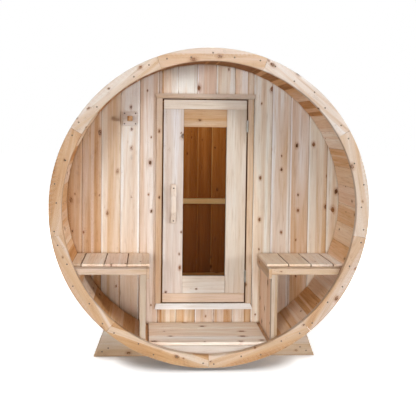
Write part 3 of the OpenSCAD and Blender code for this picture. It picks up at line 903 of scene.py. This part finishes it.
# %% Drive the screws
screw_r = 0.0050
screw_line = ring_radius - ring_board_w / 2
screw_steps = (-0.43, -0.21, 0.0, 0.21, 0.43)
step_slip, line_slip, zigzag = 0.025, 0.004, 0.011
corner_in, pull_foot_in = 0.012, 0.022
cradle_screws = {"cradle_lower_boards": (0.055, 0.095), "cradle_upper_boards": (0.085, 0.125)}
cradle_slope = 0.6
barrel_screws, door_screws = [], []
toward_porch, toward_back = Vector((0, -1, 0)), Vector((0, 1, 0))
for board in range(ring_board_count):
    for number, step in enumerate(screw_steps):
        share = board + 0.5 + step + draw.uniform(-step_slip, step_slip)
        angle = first_ring_joint + share * math.tau / ring_board_count
        reach = screw_line + zigzag * (-1) ** number + draw.uniform(-line_slip, line_slip)
        x, z = reach * math.cos(angle), barrel_axis_z + reach * math.sin(angle)
        barrel_screws.append((Vector((x, ring_low.y + screw_proud, z)), toward_porch))
        barrel_screws.append((Vector((x, back_ring_high.y - screw_proud, z)), toward_back))

plate_low, plate_high = box_of("robe_hook_plate")
for x in (plate_low.x + corner_in, plate_high.x - corner_in):
    for z in (plate_low.z + corner_in, plate_high.z - corner_in):
        barrel_screws.append((Vector((x, plate_low.y, z)), toward_porch))

for node, ends in cradle_screws.items():
    low, high = box_of(node)
    for side, from_end in itertools.product((-1, 1), ends):
        x, z = side * (high.x - from_end), (low.z + high.z) / 2 + (from_end - sum(ends) / 2) * cradle_slope
        barrel_screws.append((Vector((x, low.y, z)), toward_porch))
        barrel_screws.append((Vector((x, high.y, z)), toward_back))

pull_low, pull_high = box_of("door_pull")
pull_middle_x = (pull_low.x + pull_high.x) / 2
for z in (pull_low.z + pull_foot_in, pull_high.z - pull_foot_in):
    door_screws.append((Vector((pull_middle_x, pull_low.y, z)), toward_porch))


def drive_screws(name, screws, body):
    """Screw heads on the listed places, each with the way that it faces."""
    start = bpy.data.meshes.new(name + "_places")
    start.from_pydata([place for place, _ in screws], [], [])
    ways = start.attributes.new("facing", "FLOAT_VECTOR", "POINT").data
    for number, (_, facing) in enumerate(screws):
        ways[number].vector = facing
    piece = grow(name, screw_tree, {"Radius": screw_r, "Proud": screw_proud, "Material": screw_coat}, start)
    keep(piece, body, "hinge_steel", material=screw_coat)


drive_screws("barrel_screws", barrel_screws, "barrel")
drive_screws("door_screws", door_screws, "door")

# %% [markdown]
# Each steel band ends in two lugs, and a bolt between them pulls the staves tight. The tree makes one bolt
# with a hex head and a nut and repeats it along the barrel.

# %% The bolt tree
bolt_tree, bolt_in = new_tree("band_bolts", {
    "Count": "Int", "First": "Vector", "Step": "Float", "Turn": "Float", "Grip": "Float",
    "Shank Radius": "Float", "Hex Radius": "Float", "Hex Height": "Float", "Material": "Material",
})
shank_length = calc(bolt_tree, "MULTIPLY_ADD", bolt_in["Hex Height"], 3.0, bolt_in["Grip"])
shank = add_node(bolt_tree, "GeometryNodeMeshCylinder", {
    "Vertices": 16, "Radius": bolt_in["Shank Radius"], "Depth": shank_length,
}).outputs["Mesh"]
hex_blank = add_node(bolt_tree, "GeometryNodeMeshCylinder", {
    "Vertices": 6, "Radius": bolt_in["Hex Radius"], "Depth": bolt_in["Hex Height"],
}).outputs["Mesh"]
hex_off = times(bolt_tree, calc(bolt_tree, "ADD", bolt_in["Grip"], bolt_in["Hex Height"]), 0.5)
hexes = [
    put(bolt_tree, "GeometryNodeTransform", {
        "Geometry": hex_blank,
        "Translation": vector_of(bolt_tree, z=times(bolt_tree, hex_off, side)),
    })
    for side in (-1.0, 1.0)
]
bolt_join = add_node(bolt_tree, "GeometryNodeJoinGeometry")
for shape in (shank, *hexes):
    bolt_tree.links.new(shape, bolt_join.inputs[0])
bolt_places = put(bolt_tree, "GeometryNodeMeshLine", {
    "Count": bolt_in["Count"], "Start Location": bolt_in["First"],
    "Offset": vector_of(bolt_tree, y=bolt_in["Step"]),
})
bolt_turn = put(bolt_tree, "FunctionNodeEulerToRotation", {0: vector_of(bolt_tree, y=bolt_in["Turn"])})
bolts = put(bolt_tree, "GeometryNodeInstanceOnPoints", {
    "Points": bolt_places, "Instance": bolt_join.outputs[0], "Rotation": bolt_turn,
})
close_tree(bolt_tree, bolts, bolt_in["Material"])

# %% [markdown]
# Where the lugs are is read from the CAD bands: their tips reach furthest from the barrel's axis.

# %% Bolts in the lugs
band_count, band_w = 3, 0.030
tip_depth, bolt_in_from_tip = 0.001, 0.0075
band_low, band_high = box_of("steel_bands")
spokes = [Vector((v.co.x, 0.0, v.co.z - barrel_axis_z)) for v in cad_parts["steel_bands"].data.vertices]
lug_reach = max(spoke.length for spoke in spokes)
lug_tips = [spoke for spoke in spokes if spoke.length > lug_reach - tip_depth]
lug_way = sum(lug_tips, Vector()).normalized()
lug_side = Vector((-lug_way.z, 0.0, lug_way.x))
bolt_place = lug_way * (lug_reach - bolt_in_from_tip)
piece = grow("band_bolts", bolt_tree, {
    "Count": band_count,
    "First": (bolt_place.x, band_low.y + band_w / 2, barrel_axis_z + bolt_place.z),
    "Step": (band_high.y - band_low.y - band_w) / (band_count - 1),
    "Turn": math.atan2(lug_side.x, lug_side.z),
    "Grip": 2 * max(tip.dot(lug_side) for tip in lug_tips),
    "Shank Radius": 0.003,
    "Hex Radius": 0.0058,
    "Hex Height": 0.005,
    "Material": band_steel,
})
keep(piece, "barrel", "band_steel", material=band_steel)
print("  lug at", round(math.degrees(math.atan2(lug_way.z, lug_way.x)), 1), "degrees")

# %% [markdown]
# The door's single pane is bronze toughened glass, as sauna doors often have. Light has to get through it
# into the cabin, so shadow rays and light that bounces off the boards pass straight on and only take the
# tint. What the camera sees is smooth glass tinted in its body, with a few wiped patches.

# %% Glass
glass, shader, tree = new_material("door_glass")
pane_place = add_node(tree, "ShaderNodeTexCoord").outputs["Object"]
wiped = noise(tree, pane_place, 9.0, detail=3.0, roughness=0.55)
plug(tree, shader, {
    "Base Color": (0.84, 0.63, 0.30, 1.0), "Transmission Weight": 1.0, "IOR": 1.10,
    "Roughness": ease(tree, wiped, 0.35, 0.75, 0.0, 0.012),
})
light_path = add_node(tree, "ShaderNodeLightPath").outputs
clear = put(tree, "ShaderNodeBsdfTransparent", {"Color": (0.30, 0.22, 0.13, 1.0)})
lit_through = calc(tree, "MAXIMUM", light_path["Is Shadow Ray"], light_path["Is Diffuse Ray"])
pane = put(tree, "ShaderNodeMixShader", {0: lit_through, 1: shader.outputs[0], 2: clear})
plug(tree, tree.nodes["Material Output"], {"Surface": pane})
dress(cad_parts["door_glass"], glass)
print("glass on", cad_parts["door_glass"].name)

# %% [markdown]
# A white studio: a pale floor that fades into a white backdrop. The floor and the world look white to the
# camera by Light Path, not by more light. The floor still takes the sauna's shadow, and a painted contact
# shadow, an ambient occlusion, dims its glow where the cradles stand.

# %% Floor and world
def seen_directly(tree):
    """1 for rays that show a background: from the camera, or by way of a mirror or glass."""
    rays = add_node(tree, "ShaderNodeLightPath").outputs
    in_glass = calc(tree, "MAXIMUM", rays["Is Glossy Ray"], rays["Is Transmission Ray"])
    return calc(tree, "MAXIMUM", rays["Is Camera Ray"], in_glass)


white = (1.0, 1.0, 1.0, 1.0)
studio_floor = bpy.data.meshes.new("studio_floor")
half_floor = 30.0
corners = [(half_floor * x, half_floor * y, 0) for x, y in ((-1, -1), (1, -1), (1, 1), (-1, 1))]
studio_floor.from_pydata(corners, [], [(0, 1, 2, 3)])
floor = add_piece("studio_floor", studio_floor)
floor_paint, shader, tree = new_material("studio_floor_paint")
seen = seen_directly(tree)
floor_white = mix_colour(tree, seen, (0.55, 0.55, 0.55, 1.0), (0.92, 0.92, 0.92, 1.0))
floor_place = add_node(tree, "ShaderNodeTexCoord").outputs["Object"]
from_middle = add_node(tree, "ShaderNodeVectorMath", {0: floor_place}, operation="LENGTH").outputs["Value"]
fading = ease(tree, from_middle, 1.6, 4.0, 0.80, 1.0)
# Painted contact shadow: ambient occlusion dims the floor's glow round the cradles
open_air = add_node(tree, "ShaderNodeAmbientOcclusion", {"Distance": 0.20}, samples=16).outputs["AO"]
painted_contact_shadow = ease(tree, open_air, 0.3, 0.97, 0.05, 1.0)
shown = times(tree, seen, times(tree, fading, painted_contact_shadow))
plug(tree, shader, {
    "Base Color": floor_white, "Roughness": 0.9, "Specular IOR Level": 0.0,
    "Emission Color": white, "Emission Strength": shown,
})
dress(floor, floor_paint)

world = bpy.data.worlds.new("studio")
world.use_nodes = True
bpy.context.scene.world = world
sky_tree = world.node_tree
room = sky_tree.nodes["Background"]
plug(sky_tree, room, {"Color": white, "Strength": 0.07})
backdrop = put(sky_tree, "ShaderNodeBackground", {"Color": white, "Strength": 1.0})
both = put(sky_tree, "ShaderNodeMixShader", {0: seen_directly(sky_tree), 1: room.outputs[0], 2: backdrop})
plug(sky_tree, sky_tree.nodes["World Output"], {"Surface": both})

# %% [markdown]
# A small hard lamp on the right throws the hook's shadow to the left, softer ones stand on the left and
# above the porch, and a broad one lights the back. Two weak lamps in front have grids that keep their
# light together: one reaches under the benches, the other lights the boards over the door. A lamp in the
# cabin shows its back wall.

# %% Lamps
def hang_lamp(name, place, target, size, power, spread=180):
    """A square soft lamp that looks at a point; a grid in front of it narrows the spread."""
    lamp = bpy.data.lights.new(name, "AREA")
    lamp.size = size
    lamp.energy = power
    lamp.spread = math.radians(spread)
    holder = bpy.data.objects.new(name, lamp)
    holder.location = place
    holder.rotation_euler = (Vector(target) - Vector(place)).to_track_quat("-Z", "Y").to_euler()
    bpy.context.scene.collection.objects.link(holder)
    print(f"{name}: {power} W over {size} m")


porch_middle = (0.0, ring_low.y + 0.4, barrel_axis_z)
under_benches = (-0.2, ring_low.y, 0.2)
over_door = (0.0, ring_low.y + 0.46, 1.74)
barrel_back = (0.0, 1.0, 0.9)
cabin_roof = (0.0, ring_low.y + 0.64, barrel_axis_z + 0.62)
upper_back_wall = (0.0, wall_low.y, barrel_axis_z + 0.7)
hang_lamp("right_lamp", (7.0, -6.4, 1.65), porch_middle, size=0.5, power=355)
hang_lamp("left_lamp", (-4.2, -9.8, 1.8), porch_middle, size=1.6, power=300)
hang_lamp("low_lamp", (-0.6, -9.5, 0.6), under_benches, size=1.6, power=6.0, spread=24)
hang_lamp("head_lamp", (-0.4, -9.5, 1.75), over_door, size=0.6, power=0.31, spread=7)
hang_lamp("top_lamp", (0.2, -4.6, 5.4), porch_middle, size=3.0, power=130)
hang_lamp("back_lamp", (-2.5, 6.5, 4.5), barrel_back, size=4.0, power=300)
hang_lamp("cabin_lamp", cabin_roof, upper_back_wall, size=0.3, power=6.3, spread=150)

# %% [markdown]
# The camera stands four metres from the porch, a little left of the barrel's middle and half a metre above
# its axis, and looks slightly down and to the right. Its lens is shifted, because the photograph is
# cropped off centre.

# %% Camera
image_size = 416
focal_px = 659.64
principal_px = (180.0, 160.0)
sensor = 36.0
yaw, pitch, roll = math.radians(2.97), math.radians(2.82), math.radians(-0.63)
eye_from_ring = Vector((-0.3962, -3.9679, 0.49696))

eye = bpy.data.cameras.new("porch_camera")
eye.sensor_width = sensor
eye.lens = focal_px / image_size * sensor
eye.shift_x = (image_size / 2 - principal_px[0]) / image_size
eye.shift_y = (principal_px[1] - image_size / 2) / image_size
camera = bpy.data.objects.new("porch_camera", eye)
bpy.context.scene.collection.objects.link(camera)
forward = Vector((math.sin(yaw) * math.cos(pitch), math.cos(yaw) * math.cos(pitch), -math.sin(pitch)))
level = Vector((math.cos(yaw), -math.sin(yaw), 0.0))
raised = level.cross(forward)
right = math.cos(roll) * level - math.sin(roll) * raised
up = math.sin(roll) * level + math.cos(roll) * raised
place = Vector((0.0, ring_low.y, barrel_axis_z)) + eye_from_ring
camera.matrix_world = Matrix.Translation(place) @ Matrix((right, up, -forward)).transposed().to_4x4()
bpy.context.scene.camera = camera
bpy.context.scene.view_settings.view_transform = "Standard"
print("camera at", [round(value, 3) for value in place], f"lens {eye.lens:.1f} mm")
